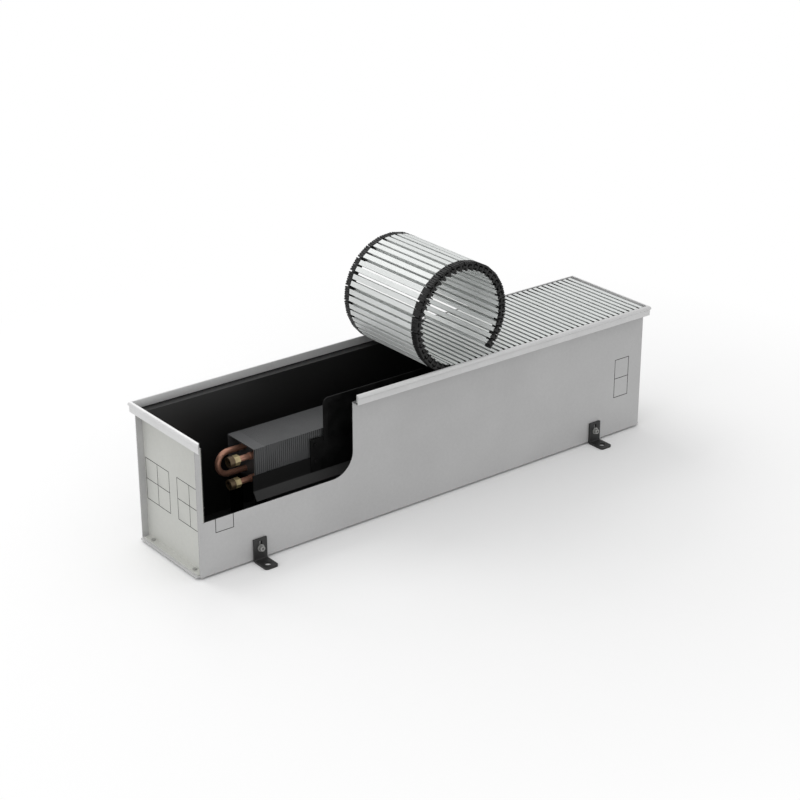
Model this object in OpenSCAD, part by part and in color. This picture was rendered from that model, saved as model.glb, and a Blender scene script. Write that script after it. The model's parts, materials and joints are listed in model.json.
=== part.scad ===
// Trench convector heater with a roll-up grille.
// X runs along the trench, -Y is the front, +Z is up. The levelling feet stand on z = 0.

/* [Casing] */
// Length of the side walls
casing_length = 761; // [700:1:1000]
// Outer width of the trough
casing_width = 141; // [136:1:170]
// Height from the underside of the floor to the top of the ledge
casing_height = 177; // [170:1:220]
// Thickness of the casing sheet
sheet = 1.5; // [1:0.1:2]
// How far the ledge reaches out from each side wall
ledge_reach = 10.4; // [8:0.1:16]
// How far the floor runs out past the side walls at each end
floor_lip = 4; // [2:0.5:6]
// How far the floor's lips stand in from the side walls' outer faces
floor_lip_inset = 3; // [1:0.5:6]
// How far each end panel stands in from the end of the side walls
end_recess = 9; // [7:0.5:12]
// Gap between an end panel's bottom flange and the side wall
flange_slot = 3.5; // [2:0.5:6]

/* [Display cutaway] */
// Width of wall that is left standing at the left end
cut_margin = 7; // [5:0.5:14]
// Length of the opening cut out of the front wall
cut_length = 232.5; // [150:0.5:260]
// Height of the opening's lower edge above the underside
cut_sill = 75.5; // [60:0.5:100]
// Radius of the opening's lower right corner
cut_radius = 33; // [10:1:50]

/* [Knockouts] */
// Side of one knockout along the wall
knockout_width = 26.5; // [20:0.5:27]
// Side of one knockout in height
knockout_height = 29.3; // [24:0.1:30]
// Height of the lowest score line above the underside
knockout_base = 56.7; // [50:0.1:60]
// Distance from the end of the side wall to a knockout's middle
knockout_inset = 38.8; // [30:0.1:60]
// Distance from the end panel's middle line to a knockout group's middle
knockout_group_place = 37.8; // [30:0.1:38]
// Side of one knockout on an end panel
end_knockout_width = 28.2; // [22:0.1:28.5]
// Width of a score line
score_width = 0.7; // [0.4:0.1:1]
// Depth of a score line
score_depth = 0.4; // [0.2:0.1:0.6]

/* [Frame] */
// Height of the frame's top above the ledge
frame_rise = 13; // [12.8:0.1:16]
// Width of the frame's top face
frame_lip = 4.5; // [4:0.1:6]
// Height of the upright upper band of the frame
frame_band = 4.8; // [3:0.1:7]
// Thickness of the frame's skirt
skirt_thickness = 1.2; // [1:0.1:1.5]
// How far the skirt reaches down past the top of the ledge
skirt_drop = 1.1; // [0.5:0.1:1.4]
// How far the skirt stands in from the upper band
skirt_step = 1.3; // [0.5:0.1:2]
// Height of the rubber seal under the frame
seal_height = 2; // [1:0.1:3]
// Width of the rubber seal
seal_width = 1.8; // [1:0.1:1.9]

/* [Roll-up grille] */
// Distance from bar to bar
bar_pitch = 9.75; // [9:0.05:11]
// Height of a bar
bar_height = 12; // [11:0.1:12.4]
// Width of a bar's top flange
bar_face = 5.6; // [4.5:0.1:6]
// Thickness of a bar's top flange
bar_face_thickness = 1.8; // [1:0.1:2]
// Thickness of a bar's web
bar_web = 2; // [1:0.1:2.4]
// Width of a bar's bottom flange
bar_foot = 4.4; // [3:0.1:5]
// Thickness of a bar's bottom flange
bar_foot_thickness = 1.4; // [0.8:0.1:1.6]
// Least gap at the left end of the grille when it is unrolled
grille_left_gap = 16; // [8:0.5:20]
// Number of segments in the roll, of two bars each, but one bar in the last
roll_segments = 20; // [20:1:20]
// Turn of each segment against the one before, rolled up
roll_turn = 15.9; // [14:0.1:16]
// Depth of the hinge line below the top of the bars
hinge_depth = 5.4; // [5.2:0.1:5.6]
// Length of an end link along the bar
link_width = 7.9; // [6:0.1:9]
// Radius of a link's eye
eye_radius = 3; // [2.5:0.1:3.1]
// Radius of the hinge pin
pin_radius = 1.45; // [1:0.05:1.8]
// Thickness of a link's outer cap, which covers the end of the bar's top flange
link_cap = 1; // [0.6:0.1:1.5]
// Width of a link's head on that cap
head_width = 5; // [4:0.1:5.4]
// Radius of the head's upper corners
head_corner = 0.8; // [0.4:0.1:1.2]

/* [Heat exchanger] */
// Distance from fin to fin
fin_pitch = 3.2; // [3:0.1:5]
// Thickness of a fin
fin_thickness = 0.5; // [0.3:0.1:0.8]
// Length of the folded rim of a fin
fin_fold = 2.5; // [1:0.1:2.8]
// Width of a fin across the trench
fin_width = 60; // [56:1:62]
// Height of a fin
fin_height = 60; // [50:1:62]
// Height of the fins above the casing's floor
fin_base = 70; // [60:1:80]
// Distance from the casing's left end to the left carrier's flanges
exchanger_place = 112; // [100:1:116]
// Room between the last fin and the casing's right end
exchanger_end_room = 46; // [44:0.5:60]
// How far the carrier's flanges reach outwards from its plate
plate_flange = 16; // [13:0.5:20]
// Outer radius of the copper tube
tube_radius = 4; // [3:0.1:5]
// Wall of the copper tube
tube_wall = 0.7; // [0.5:0.1:1]
// Distance between tube axes across the trench
tube_spacing = 30; // [24:0.5:32]
// Distance between tube axes in height
tube_rise = 32; // [26:0.5:34]
// How far the middle of the tubes lies below the middle of the fins
tube_sink = 1.5; // [0:0.5:3]

/* [Pipe connections] */
// Length of the pipes between the carrier plate and the union
pipe_reach = 27.5; // [20:0.5:32]
// Length of the collar on each pipe
collar_length = 14; // [6:0.5:18]
// Straight length of the left bend's legs
left_leg = 26.5; // [20:0.5:32]
// Size across the flats of the union's hexagon
union_hex = 14; // [13.5:0.5:17]
// Length of the union's hexagon
union_hex_length = 11; // [6:0.5:12]
// Radius of the union's round socket
union_socket_radius = 7.2; // [7:0.1:9]
// Length of the union's round socket
union_socket_length = 7.5; // [6:0.5:10]
// Radius of the union's threaded hole
union_thread_radius = 5.5; // [5:0.1:6]

/* [Partition and air guide] */
// Thickness of the partition and carrier sheet
thin_sheet = 1.2; // [0.8:0.1:1.5]
// Top of the air guide strip above the casing's underside
guide_top = 95; // [90:0.5:98]
// Height of the upright part of the air guide strip
guide_height = 21; // [15:0.5:24]
// Sideways reach of the strip's slanted lip
guide_lip_out = 7.5; // [4:0.5:10]
// Drop of the strip's slanted lip
guide_lip_drop = 12; // [8:0.5:16]
// Left edge of the lower partition panel from the casing's left end
lower_panel_place = 198.5; // [180:0.5:205]
// Left edge of the upper partition panel from the casing's left end
upper_panel_place = 218.5; // [210:0.5:240]
// Height of the lower panel's top above the casing's underside
lower_panel_top = 121; // [116:0.5:130]
// Overlap of the two panels
panel_lap = 5; // [3:0.5:8]
// Radius of the upper panel's top left corner
panel_radius = 8; // [3:0.5:14]
// Width of the folded hem on the upper panel
hem_width = 7; // [4:0.5:10]

/* [Levelling feet] */
// Distance from the end of the side wall to a foot's middle
foot_inset = 89.5; // [70:0.5:120]
// Width of a foot
foot_width = 20; // [16:0.5:26]
// Height of a foot's upright leg
foot_height = 32; // [31:0.5:38]
// Reach of the foot from the wall
foot_reach = 29; // [26:0.5:36]
// Thickness of a foot
foot_thickness = 3; // [2:0.5:4]
// Radius of the anchor hole
anchor_radius = 4.5; // [3:0.1:5]
// Distance from the wall to the anchor hole's middle
anchor_place = 18.5; // [16:0.5:20]
// Height of the clamp screw above the ground
clamp_height = 19; // [17:0.5:20]
// Travel of the foot along its slot
foot_travel = 8; // [4:0.5:8]
// Radius of the clamp screw
clamp_radius = 2; // [1.5:0.1:2.5]

/* [Hidden] */

$fn = 48;

// One overrun for every cut
overrun = 5;
// Running clearance between a pin or tube and its hole
fit_gap = 0.05;
// Gap between parts that slide on each other
slide_gap = 0.1;

// Casing places
casing_base = foot_thickness;
floor_top = casing_base + sheet;
ledge_top = casing_base + casing_height;
half_length = casing_length / 2;
half_width = casing_width / 2;
inner_half = half_width - sheet;
ledge_half = half_width + ledge_reach;
panel_out = half_length - end_recess;
panel_in = panel_out - sheet;
panel_screw_y = 50;
panel_screw_radius = 2;
panel_screw_head = 2.8;
panel_screw_rise = 1.4;
cut_x0 = cut_margin - half_length;
cut_x1 = cut_x0 + cut_length;
cut_z = casing_base + cut_sill;
knockout_x = half_length - knockout_inset;
knockout_z = casing_base + knockout_base;
lip_half = half_width - floor_lip_inset;

// Frame places
frame_top = ledge_top + frame_rise;
skirt_inset = skirt_step + skirt_thickness;
frame_out_y = ledge_half + slide_gap + skirt_inset;
frame_out_x = half_length + slide_gap + skirt_inset;
frame_in_y = frame_out_y - frame_lip;
frame_in_x = frame_out_x - frame_lip;
frame_bevel = 1;
seal_top = ledge_top + seal_height;
mitre_reach = 2 * frame_lip;
// Share of the trough's half width by which the seal is cut back at the display cutaway
seal_cut_share = 0.5;

// Grille places
rest_gap = 0.3;
grille_side_gap = 0.6;
grille_end_gap = 4.2;
half_pitch = bar_pitch / 2;
segment_length = 2 * bar_pitch;
bar_low = hinge_depth - bar_height;
hinge_z = ledge_top + rest_gap - bar_low;
grille_half = frame_in_y - grille_side_gap;
link_in = grille_half - link_width;
bar_half = link_in - slide_gap;
cap_in = grille_half - link_cap;
flange_half = cap_in - slide_gap;
flange_under = hinge_depth - bar_face_thickness;
grille_right = frame_in_x - grille_end_gap;
unrolled_length = frame_in_x - grille_left_gap + grille_right;
roll_bars = 2 * roll_segments - 1;
flat_bars = floor(unrolled_length / bar_pitch) - roll_bars;
roll_x = grille_right - flat_bars * bar_pitch;
tooth_half = 1.6;
tooth_top = flange_under - slide_gap;
shoe_half = 3.6;
shoe_top = -3.7;
shoe_notch_half = 0.8;
shoe_notch_top = -5;
neck_half = 2;
layer_split = link_in + link_width / 2;

// Exchanger places
exchanger_left = exchanger_place - half_length;
plate_left = exchanger_left + plate_flange;
fins_left = plate_left + thin_sheet + slide_gap;
fins_room = half_length - exchanger_end_room - slide_gap - fin_fold - fins_left;
fin_count = floor(fins_room / fin_pitch) + 1;
plate_right = fins_left + (fin_count - 1) * fin_pitch + fin_fold + slide_gap;
exchanger_right = plate_right + thin_sheet + plate_flange;
fins_low = floor_top + fin_base;
fins_top = fins_low + fin_height;
tubes_mid = (fins_low + fins_top) / 2 - tube_sink;
tube_y = tube_spacing / 2;
tube_high = tubes_mid + tube_rise / 2;
tube_low = tubes_mid - tube_rise / 2;
tube_hole = tube_radius + fit_gap;
tube_bore = tube_radius - tube_wall;
bend_leg = 12;
collar_radius = 5;
plate_margin = 0.5;
plate_half = fin_width / 2 + plate_margin;
arch_half = 26;
arch_radius = 12;
arch_margin = 2;
arch_top = fins_low - arch_margin;
plate_foot = 12;
carrier_screw_radius = 1.5;
carrier_screw_head = 2.8;
carrier_screw_rise = 1.6;
union_seat = 3;
union_right = plate_left - pipe_reach;
union_mid = union_right - union_hex_length;
union_left = union_mid - union_socket_length;
thread_past_socket = 2;
union_thread_end = union_mid + thread_past_socket;
bend_right = plate_right + thin_sheet + bend_leg;

// Air vent places
vent_x = bend_right + tube_y;
vent_hex = 10;
vent_hex_height = 6;
vent_neck_radius = 3.2;
vent_height = 16;
vent_screw_radius = 1.6;
vent_screw_depth = 9;
vent_head_radius = 2.8;
vent_head_height = 2.2;
vent_slot_width = 0.8;
vent_slot_depth = 1.2;

// Partition places
guide_back = plate_half;
guide_thickness = 1.5;
guide_front = guide_back + guide_thickness;
guide_z1 = casing_base + guide_top;
guide_z0 = guide_z1 - guide_height;
guide_overhang = 3.5;
guide_x0 = exchanger_left - guide_overhang;
guide_x1 = exchanger_right + guide_overhang;
lower_x0 = lower_panel_place - half_length;
lower_front = guide_front + thin_sheet;
lower_z1 = casing_base + lower_panel_top;
upper_x0 = upper_panel_place - half_length;
upper_front = lower_front + thin_sheet;
upper_z0 = lower_z1 - panel_lap;
upper_panel_gap = 1.7;
upper_z1 = ledge_top - upper_panel_gap;
hem_lift = 0.8;
hem_corner_share = 0.25;
partition_x1 = panel_in;
stay_half = 6;
stay_edge = 7.5;
stay_columns = [lower_x0 + stay_edge, (lower_x0 + guide_x1) / 2, guide_x1 - stay_edge];
stay_screw_drop = 4;
stay_screw_high = upper_z0 - stay_screw_drop;
stay_screw_rise = 15;
stay_screw_low = guide_z0 + stay_screw_rise;
small_screw_radius = 1.5;
small_head_radius = 2.9;
small_head_rise = 1.6;

// Foot places
foot_x = half_length - foot_inset;
foot_back = half_width + slide_gap;
foot_front = foot_back + foot_thickness;
foot_corner = 4;
foot_bend = 4;
slot_clearance = 0.2;
slot_radius = clamp_radius + slot_clearance;
washer_back = foot_front + slide_gap;
washer_radius = 5;
washer_thickness = 1;
clamp_head_radius = 3.5;
clamp_head_length = 4;
clamp_socket = 3;
clamp_socket_depth = 2;
weld_nut_flats = 7;
weld_nut_height = 3.2;

hex_share = 1 / cos(30);

// A cylinder along Y that starts at y0 and runs towards +Y
module rod_y(r, y0, length) {
    translate([0, y0, 0]) rotate([-90, 0, 0]) cylinder(r = r, h = length);
}

// A cylinder along X that starts at x0 and runs towards +X
module rod_x(r, x0, length) {
    translate([x0, 0, 0]) rotate([0, 90, 0]) cylinder(r = r, h = length);
}

// Extrudes a (y, z) outline along X
module along_x(x0, length) {
    translate([x0, 0, 0]) rotate([90, 0, 90]) linear_extrude(length) children();
}

// Extrudes an (x, z) outline along Y
module along_y(y0, length) {
    translate([0, y0 + length, 0]) rotate([90, 0, 0]) linear_extrude(length) children();
}

module box(low, high) {
    translate(low) cube(high - low);
}

// Score lines of a block of knockouts, as an outline on the wall's face
module score_lines(middle, width, columns) {
    for (i = [0 : columns]) {
        x = middle + (i - columns / 2) * width;
        translate([x - score_width / 2, knockout_z]) square([score_width, 2 * knockout_height]);
    }
    for (j = [0 : 2])
        translate([middle - columns * width / 2 - score_width / 2, knockout_z + j * knockout_height - score_width / 2])
            square([columns * width + score_width, score_width]);
}

module wall_scores() {
    for (side = [-1, 1]) score_lines(side * knockout_x, knockout_width, 1);
}

module panel_scores() {
    for (side = [-1, 1]) score_lines(side * knockout_group_place, end_knockout_width, 2);
}

// Outline of the display cutaway in the front wall
module cutaway() {
    difference() {
        translate([cut_x0, cut_z]) square([cut_length, casing_height]);
        difference() {
            translate([cut_x1 - cut_radius, cut_z - overrun]) square([cut_radius + overrun, cut_radius + overrun]);
            translate([cut_x1 - cut_radius, cut_z + cut_radius]) circle(r = cut_radius);
        }
    }
}

module trough_outline() {
    polygon([
        [-half_width, casing_base], [half_width, casing_base],
        [half_width, ledge_top - sheet], [ledge_half, ledge_top - sheet],
        [ledge_half, ledge_top], [inner_half, ledge_top],
        [inner_half, floor_top], [-inner_half, floor_top],
        [-inner_half, ledge_top], [-ledge_half, ledge_top],
        [-ledge_half, ledge_top - sheet], [-half_width, ledge_top - sheet]]);
}

module clamp_places() {
    for (x = [-foot_x, foot_x]) translate([x, 0, clamp_height]) children();
}

module casing_trough() {
    color([0.68, 0.68, 0.67])
    difference() {
        union() {
            along_x(-half_length, casing_length) trough_outline();
            box([-half_length - floor_lip, -lip_half, casing_base], [half_length + floor_lip, lip_half, floor_top]);
        }
        along_y(-ledge_half - overrun, ledge_half + overrun - inner_half + overrun) cutaway();
        box([-half_length - overrun, -ledge_half - overrun, ledge_top - 2 * sheet],
            [cut_x0 + overrun, -half_width, ledge_top + overrun]);
        along_y(-half_width - overrun, overrun + score_depth) wall_scores();
        along_y(half_width - score_depth, overrun + score_depth) wall_scores();
        clamp_places() {
            rod_y(slot_radius, -half_width - overrun, sheet + 2 * overrun);
            rod_y(slot_radius, half_width - sheet - overrun, sheet + 2 * overrun);
        }
        for (x = [-1, 1], y = [-1, 1])
            translate([x * (panel_out + end_recess / 2), y * panel_screw_y, casing_base - overrun])
                cylinder(r = panel_screw_radius + fit_gap, h = sheet + 2 * overrun);
        for (x = [plate_left - plate_foot / 2, plate_right + thin_sheet + plate_foot / 2], y = [-1, 1])
            translate([x, y * (plate_half - plate_foot / 2), casing_base - overrun])
                cylinder(r = carrier_screw_radius + fit_gap, h = sheet + 2 * overrun);
    }
}

// Right end panel: an upright plate with a flange at the top and at the bottom, both turned outwards
module end_panel() {
    color([0.78, 0.78, 0.75])
    difference() {
        union() {
            box([panel_in, -inner_half, floor_top], [panel_out, inner_half, ledge_top]);
            box([panel_out - sheet, -inner_half, ledge_top - sheet], [half_length - slide_gap, inner_half, ledge_top]);
            box([panel_out - sheet, flange_slot - inner_half, floor_top],
                [half_length - slide_gap, inner_half - flange_slot, floor_top + sheet]);
        }
        translate([panel_out - score_depth, 0, 0]) along_x(0, overrun) panel_scores();
        for (y = [-1, 1])
            translate([panel_out + end_recess / 2, y * panel_screw_y, floor_top - overrun])
                cylinder(r = panel_screw_radius + fit_gap, h = sheet + 2 * overrun);
    }
}

module end_panel_right() { end_panel(); }

module end_panel_left() { mirror([1, 0, 0]) end_panel(); }

module end_panel_screws() {
    color([0.55, 0.55, 0.55])
    for (x = [-1, 1], y = [-1, 1])
        translate([x * (panel_out + end_recess / 2), y * panel_screw_y, 0]) {
            translate([0, 0, casing_base]) cylinder(r = panel_screw_radius, h = 2 * sheet);
            translate([0, 0, floor_top + sheet]) cylinder(r = panel_screw_head, h = panel_screw_rise);
        }
}

// Section of the frame: x runs inwards from the outer face, y is the height
module frame_outline() {
    polygon([
        [0, frame_top], [frame_lip, frame_top],
        [frame_lip, seal_top], [skirt_inset, seal_top],
        [skirt_inset, ledge_top - skirt_drop], [skirt_step, ledge_top - skirt_drop],
        [skirt_step, frame_top - frame_band - frame_bevel], [0, frame_top - frame_band]]);
}

// A bar of the frame along X, with its outer face at +Y
module long_profile() {
    along_x(-frame_out_x, 2 * frame_out_x) translate([frame_out_y, 0]) mirror([1, 0]) frame_outline();
}

module short_profile() {
    along_y(-frame_out_y, 2 * frame_out_y) translate([frame_out_x, 0]) mirror([1, 0]) frame_outline();
}

// Plan of the mitred bar along X at +Y, and of the bar along Y at +X
module long_mitre() {
    translate([0, 0, casing_base]) linear_extrude(frame_top)
        polygon([
            [-frame_out_x - overrun, frame_out_y + overrun], [frame_out_x + overrun, frame_out_y + overrun],
            [frame_out_x - mitre_reach, frame_out_y - mitre_reach],
            [mitre_reach - frame_out_x, frame_out_y - mitre_reach]]);
}

module short_mitre() {
    translate([0, 0, casing_base]) linear_extrude(frame_top)
        polygon([
            [frame_out_x + overrun, -frame_out_y - overrun], [frame_out_x + overrun, frame_out_y + overrun],
            [frame_out_x - mitre_reach, frame_out_y - mitre_reach],
            [frame_out_x - mitre_reach, mitre_reach - frame_out_y]]);
}

module frame_profile_back() {
    color([0.86, 0.86, 0.85]) intersection() { long_profile(); long_mitre(); }
}

module frame_profile_front() {
    color([0.86, 0.86, 0.85])
    mirror([0, 1, 0])
    intersection() {
        long_profile();
        long_mitre();
        box([cut_x1, 0, 0], [frame_out_x + overrun, frame_out_y + overrun, frame_top + overrun]);
    }
}

module frame_profile_right() {
    color([0.86, 0.86, 0.85]) intersection() { short_profile(); short_mitre(); }
}

module frame_profile_left() {
    mirror([1, 0, 0]) frame_profile_right();
}

module frame_seal() {
    color([0.08, 0.08, 0.08])
    translate([0, 0, ledge_top]) linear_extrude(seal_height)
        difference() {
            square([2 * (frame_in_x + seal_width), 2 * (frame_in_y + seal_width)], center = true);
            square([2 * frame_in_x, 2 * frame_in_y], center = true);
            translate([-frame_out_x, -frame_out_y])
                square([frame_out_x + cut_x1, frame_lip + seal_cut_share * inner_half]);
        }
}

// One grille bar along Y, its hinge line at z = 0, its middle at x = 0
module bar() {
    color([0.88, 0.89, 0.88]) {
        along_y(-bar_half, 2 * bar_half)
            polygon([
                [-bar_face / 2, hinge_depth], [bar_face / 2, hinge_depth],
                [bar_face / 2, flange_under], [bar_web / 2, flange_under],
                [bar_web / 2, bar_low + bar_foot_thickness], [bar_foot / 2, bar_low + bar_foot_thickness],
                [bar_foot / 2, bar_low], [-bar_foot / 2, bar_low],
                [-bar_foot / 2, bar_low + bar_foot_thickness], [-bar_web / 2, bar_low + bar_foot_thickness],
                [-bar_web / 2, flange_under], [-bar_face / 2, flange_under]]);
        along_y(-flange_half, 2 * flange_half)
            translate([-bar_face / 2, flange_under]) square([bar_face, bar_face_thickness]);
    }
}

// Outline of the upright tooth and the two-toothed shoe of a link
module link_outline() {
    difference() {
        union() {
            translate([-tooth_half, shoe_top]) square([2 * tooth_half, tooth_top - shoe_top]);
            translate([-shoe_half, bar_low]) square([2 * shoe_half, shoe_top - bar_low]);
        }
        translate([-shoe_notch_half, bar_low - overrun])
            square([2 * shoe_notch_half, shoe_notch_top - bar_low + overrun]);
    }
}

// Outline of the cap's head, which stands over the end of the bar's top flange
module head_outline() {
    flat_half = head_width / 2 - head_corner;
    translate([-tooth_half, shoe_top]) square([2 * tooth_half, hinge_depth - shoe_top]);
    translate([-head_width / 2, flange_under]) square([head_width, bar_face_thickness - head_corner]);
    translate([-flat_half, flange_under]) square([2 * flat_half, bar_face_thickness]);
    for (x = [-flat_half, flat_half]) translate([x, hinge_depth - head_corner]) circle(r = head_corner);
}

// Link at the +Y end of a bar: the eye on its +X side lies outside, the eye with the pin on its -X side inside
module link(eye = true, pin = true) {
    color([0.07, 0.07, 0.07])
    difference() {
        union() {
            along_y(link_in, link_width) link_outline();
            along_y(cap_in, link_cap) head_outline();
            if (eye) {
                box([tooth_half / 2, layer_split + slide_gap, -neck_half], [half_pitch, grille_half, neck_half]);
                translate([half_pitch, 0, 0])
                    rod_y(eye_radius, layer_split + slide_gap, grille_half - layer_split - slide_gap);
            }
            if (pin) {
                box([-half_pitch, link_in, -neck_half], [-tooth_half / 2, layer_split - slide_gap, neck_half]);
                translate([-half_pitch, 0, 0]) {
                    rod_y(eye_radius, link_in, layer_split - slide_gap - link_in);
                    rod_y(pin_radius, link_in, link_width - slide_gap);
                }
            }
        }
        if (eye) translate([half_pitch, 0, 0]) rod_y(pin_radius + fit_gap, layer_split, link_width);
    }
}

module link_pair(eye = true, pin = true) {
    link(eye, pin);
    mirror([0, 1, 0]) link(eye, pin);
}

function flat_bar_x(i) = grille_right - (i + 0.5) * bar_pitch;

module grille_bars_flat() {
    for (i = [0 : flat_bars - 1]) translate([flat_bar_x(i), 0, hinge_z]) bar();
}

module grille_links_flat() {
    for (i = [0 : flat_bars - 1]) translate([flat_bar_x(i), 0, hinge_z]) link_pair(eye = i > 0);
}

// Place (x, z) of the hinge that starts segment s, counted from 1
function hinge_at(s) = s == 1
    ? [roll_x, hinge_z]
    : hinge_at(s - 1) + segment_length * [-cos((s - 1) * roll_turn), sin((s - 1) * roll_turn)];

module grille_segment(s) {
    h = hinge_at(s);
    translate([h[0], 0, h[1]]) rotate([0, s * roll_turn, 0]) {
        for (k = s < roll_segments ? [0, 1] : [0]) translate([-(k + 0.5) * bar_pitch, 0, 0]) {
            bar();
            link_pair(pin = s < roll_segments);
        }
    }
}

// One fin, standing on its left face, with a rim folded over at the front, the top and the back
module fin() {
    along_x(0, fin_thickness)
        difference() {
            translate([-fin_width / 2, fins_low]) square([fin_width, fin_height]);
            for (y = [-tube_y, tube_y], z = [tube_low, tube_high]) translate([y, z]) circle(r = tube_hole);
        }
    along_x(0, fin_fold)
        difference() {
            translate([-fin_width / 2, fins_low]) square([fin_width, fin_height]);
            translate([fin_thickness - fin_width / 2, fins_low - overrun])
                square([fin_width - 2 * fin_thickness, fin_height - fin_thickness + overrun]);
        }
}

module fin_pack() {
    color([0.3, 0.31, 0.32])
    for (i = [0 : fin_count - 1]) translate([fins_left + i * fin_pitch, 0, 0]) fin();
}

// Carrier plate outline with an arch between its two legs
module carrier_outline() {
    difference() {
        translate([-plate_half, floor_top]) square([2 * plate_half, fins_top - floor_top]);
        translate([-arch_half, floor_top - overrun]) square([2 * arch_half, arch_top - arch_radius - floor_top + overrun]);
        translate([arch_radius - arch_half, floor_top]) square([2 * (arch_half - arch_radius), arch_top - floor_top]);
        for (side = [-1, 1])
            translate([side * (arch_half - arch_radius), arch_top - arch_radius]) circle(r = arch_radius);
        for (y = [-tube_y, tube_y], z = [tube_low, tube_high]) translate([y, z]) circle(r = tube_hole);
    }
}

// Carrier plate whose flanges and feet point towards -X
module carrier_plate() {
    color([0.42, 0.44, 0.46])
    difference() {
        union() {
            along_x(0, thin_sheet) carrier_outline();
            box([-plate_flange, -plate_half, fins_top - thin_sheet], [thin_sheet, plate_half, fins_top]);
            for (side = [-1, 1]) {
                box([-plate_flange, min(side * plate_half, side * (plate_half - thin_sheet)), floor_top],
                    [thin_sheet, max(side * plate_half, side * (plate_half - thin_sheet)), fins_top]);
                box([-plate_foot, min(side * plate_half, side * (plate_half - plate_foot)), floor_top],
                    [0, max(side * plate_half, side * (plate_half - plate_foot)), floor_top + thin_sheet]);
            }
        }
        for (side = [-1, 1])
            translate([-plate_foot / 2, side * (plate_half - plate_foot / 2), floor_top - overrun])
                cylinder(r = carrier_screw_radius + fit_gap, h = 2 * overrun);
    }
}

module carrier_plate_left() { translate([plate_left, 0, 0]) carrier_plate(); }

module carrier_plate_right() { translate([plate_right + thin_sheet, 0, 0]) mirror([1, 0, 0]) carrier_plate(); }

module carrier_screws() {
    color([0.6, 0.6, 0.6])
    for (x = [plate_left - plate_foot / 2, plate_right + thin_sheet + plate_foot / 2], side = [-1, 1])
        translate([x, side * (plate_half - plate_foot / 2), 0]) {
            translate([0, 0, casing_base]) cylinder(r = carrier_screw_radius, h = sheet + thin_sheet);
            translate([0, 0, floor_top + thin_sheet]) cylinder(r = carrier_screw_head, h = carrier_screw_rise);
        }
}

module tube(x0, x1) {
    difference() {
        rod_x(tube_radius, x0, x1 - x0);
        rod_x(tube_bore, x0 - overrun, x1 - x0 + 2 * overrun);
    }
}

module tubes_front() {
    color([0.72, 0.45, 0.33])
    for (z = [tube_low, tube_high]) translate([0, -tube_y, z]) tube(union_right - union_seat, bend_right);
}

module tubes_back() {
    color([0.72, 0.45, 0.33])
    for (z = [tube_low, tube_high]) translate([0, tube_y, z]) tube(plate_left - left_leg / 2, bend_right);
}

// Half ring of tube in the XY plane that opens towards -X
module half_ring(radius) {
    rotate([0, 0, -90]) rotate_extrude(angle = 180)
        translate([radius, 0]) difference() { circle(r = tube_radius); circle(r = tube_bore); }
}

module u_bend_left() {
    color([0.74, 0.46, 0.34])
    translate([plate_left - left_leg, tube_y, tubes_mid]) rotate([90, 0, 0]) mirror([1, 0, 0])
        half_ring(tube_rise / 2);
    color([0.74, 0.46, 0.34])
    for (z = [tube_low, tube_high])
        translate([0, tube_y, z]) tube(plate_left - left_leg, plate_left - left_leg / 2);
}

module u_bends_right() {
    color([0.74, 0.46, 0.34])
    for (z = [tube_low, tube_high]) translate([bend_right, 0, z]) half_ring(tube_y);
}

module pipe_collars() {
    color([0.76, 0.5, 0.38])
    for (z = [tube_low, tube_high]) translate([0, -tube_y, z])
        difference() {
            rod_x(collar_radius, plate_left - collar_length, collar_length);
            rod_x(tube_hole, plate_left - collar_length - overrun, collar_length + 2 * overrun);
        }
}

// Brass union: a hexagon on the pipe and a round socket with an inner thread
module pipe_union() {
    color([0.83, 0.71, 0.42])
    difference() {
        union() {
            translate([union_mid, 0, 0]) rotate([0, 90, 0]) rotate([0, 0, 30])
                cylinder(r = union_hex / 2 * hex_share, h = union_hex_length, $fn = 6);
            rod_x(union_socket_radius, union_left, union_socket_length);
        }
        rod_x(tube_hole, union_mid, union_hex_length + overrun);
        rod_x(union_thread_radius, union_left - overrun, union_thread_end - union_left + overrun);
    }
}

module union_supply() { translate([0, -tube_y, tube_high]) pipe_union(); }

module union_return() { translate([0, -tube_y, tube_low]) pipe_union(); }

module air_vent_body() {
    color([0.83, 0.71, 0.42])
    difference() {
        translate([vent_x, 0, tube_high]) {
            cylinder(r = vent_hex / 2 * hex_share, h = vent_hex_height + tube_radius, $fn = 6);
            cylinder(r = vent_neck_radius, h = vent_height);
        }
        translate([bend_right, 0, tube_high])
            rotate_extrude() translate([tube_y, 0]) circle(r = tube_radius);
        translate([vent_x - vent_hex, -vent_hex, tube_high - overrun]) cube([2 * vent_hex, 2 * vent_hex, overrun]);
        translate([vent_x, 0, tube_high + vent_height - vent_screw_depth])
            cylinder(r = vent_screw_radius + fit_gap, h = vent_screw_depth + overrun);
    }
}

module air_vent_screw() {
    color([0.8, 0.68, 0.4])
    translate([vent_x, 0, tube_high + vent_height])
        difference() {
            union() {
                translate([0, 0, rest_gap - vent_screw_depth]) cylinder(r = vent_screw_radius, h = vent_screw_depth);
                translate([0, 0, rest_gap]) cylinder(r = vent_head_radius, h = vent_head_height);
            }
            translate([-vent_head_radius - overrun, -vent_slot_width / 2, rest_gap + vent_head_height - vent_slot_depth])
                cube([2 * (vent_head_radius + overrun), vent_slot_width, vent_slot_depth + overrun]);
        }
}

module stay_screw_holes(heights) {
    for (x = stay_columns, z = heights) translate([x, 0, z])
        rod_y(small_screw_radius + fit_gap, -upper_front - overrun, upper_front - guide_back + 2 * overrun);
}

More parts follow.
